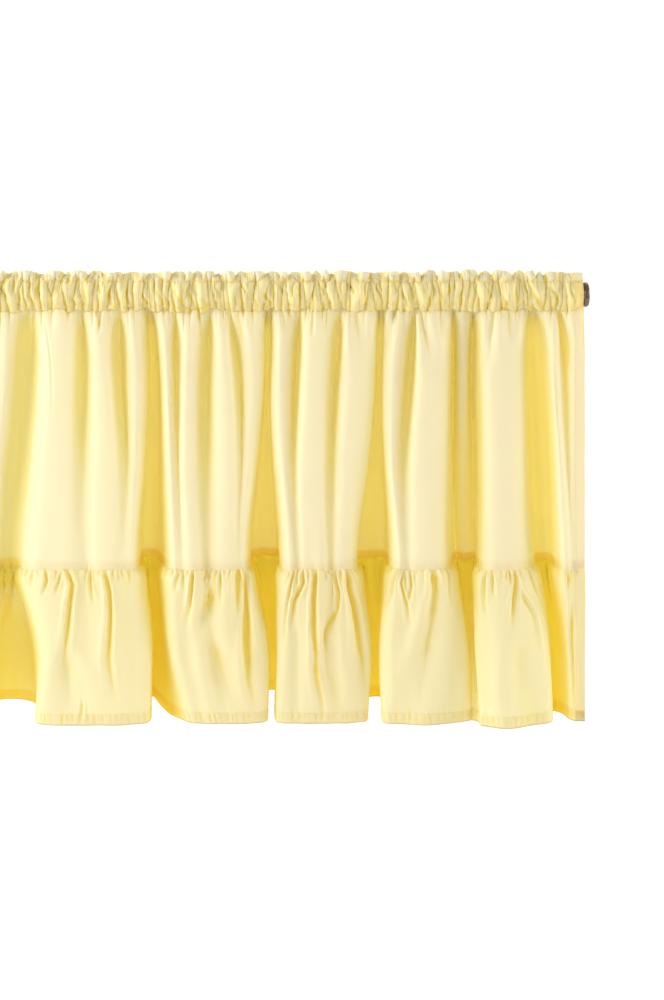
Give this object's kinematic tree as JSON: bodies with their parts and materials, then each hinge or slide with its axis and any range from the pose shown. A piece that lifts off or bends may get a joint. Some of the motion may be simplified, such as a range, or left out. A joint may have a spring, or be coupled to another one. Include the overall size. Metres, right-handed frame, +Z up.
{
  "type": "ruffled window valance on a curtain rod",
  "caption": "Gathered rod-pocket window valance with a header frill and a ruffle along its lower edge, hanging on a round curtain rod.",
  "frame": {"origin": "on the axis of the curtain rod, half way along it", "axes": "+X along the rod, to the right seen from the front; -Y to the room, the front of the cloth; +Z up"},
  "size_m": [0.772, 0.1289, 0.4443],
  "materials": {
    "panel_cotton": "matt plain-weave cotton, pale lemon yellow",
    "ruffle_cotton": "matt plain-weave cotton, pale lemon yellow, the same cloth as the panel",
    "rod_metal": "dark bronze, satin",
    "cap_metal": "dark bronze, satin"
  },
  "bodies": {
    "root": {"valance_panel": "panel_cotton", "valance_ruffle": "ruffle_cotton", "curtain_rod": "rod_metal", "rod_cap_right": "cap_metal", "rod_cap_left": "cap_metal"}
  },
  "joints": []
}
